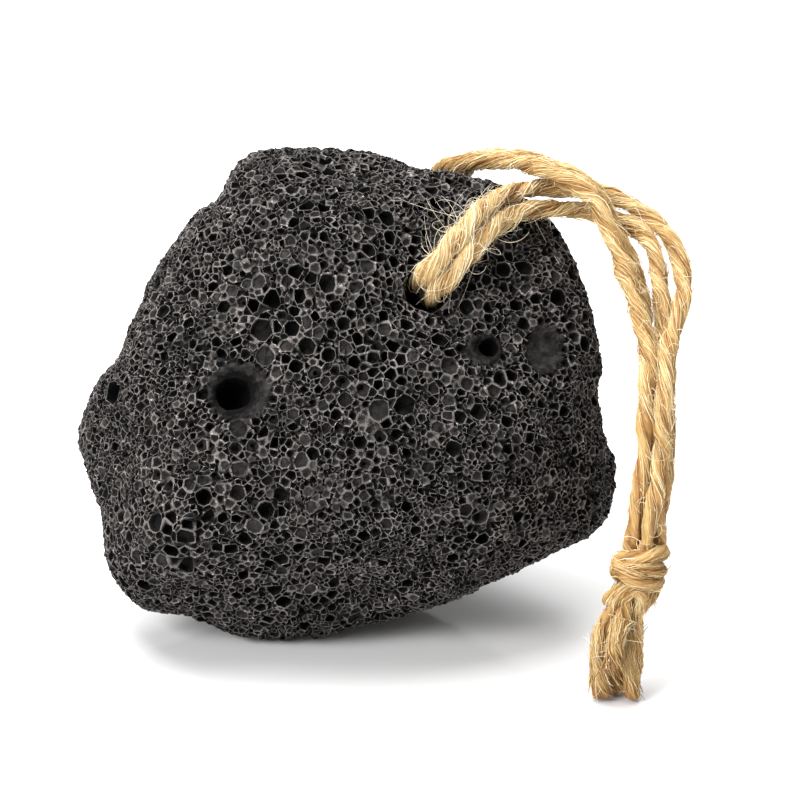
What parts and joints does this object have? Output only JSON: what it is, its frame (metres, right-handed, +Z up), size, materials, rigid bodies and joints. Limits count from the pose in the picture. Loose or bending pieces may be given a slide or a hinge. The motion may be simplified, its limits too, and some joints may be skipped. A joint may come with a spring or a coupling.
{
  "type": "lava rock",
  "caption": "Black vesicular lava rock, pitted all over with open bubbles, with a doubled jute twine loop through a drilled corner, tied in a knot with cut tails.",
  "frame": {"origin": "middle of the rock's own box, the twine left out, on the surface that it rests on", "axes": "+Z up; the broad face that shows the drilled hole looks towards -Y and leans back; +X runs along the rock's greatest width, towards the corner with the twine"},
  "size_m": [0.0969, 0.0728, 0.0738],
  "materials": {
    "rock": "rough, dry, open-pored black basalt",
    "twine": "hairy two-ply jute twine, undyed"
  },
  "bodies": {
    "root": {"rock": "rock", "strand_front_upper": "twine", "strand_front_lower": "twine", "strand_back_upper": "twine", "strand_back_lower": "twine", "knot": "twine", "tail_left": "twine", "tail_right": "twine", "tail_back": "twine", "tail_middle": "twine"}
  },
  "joints": []
}
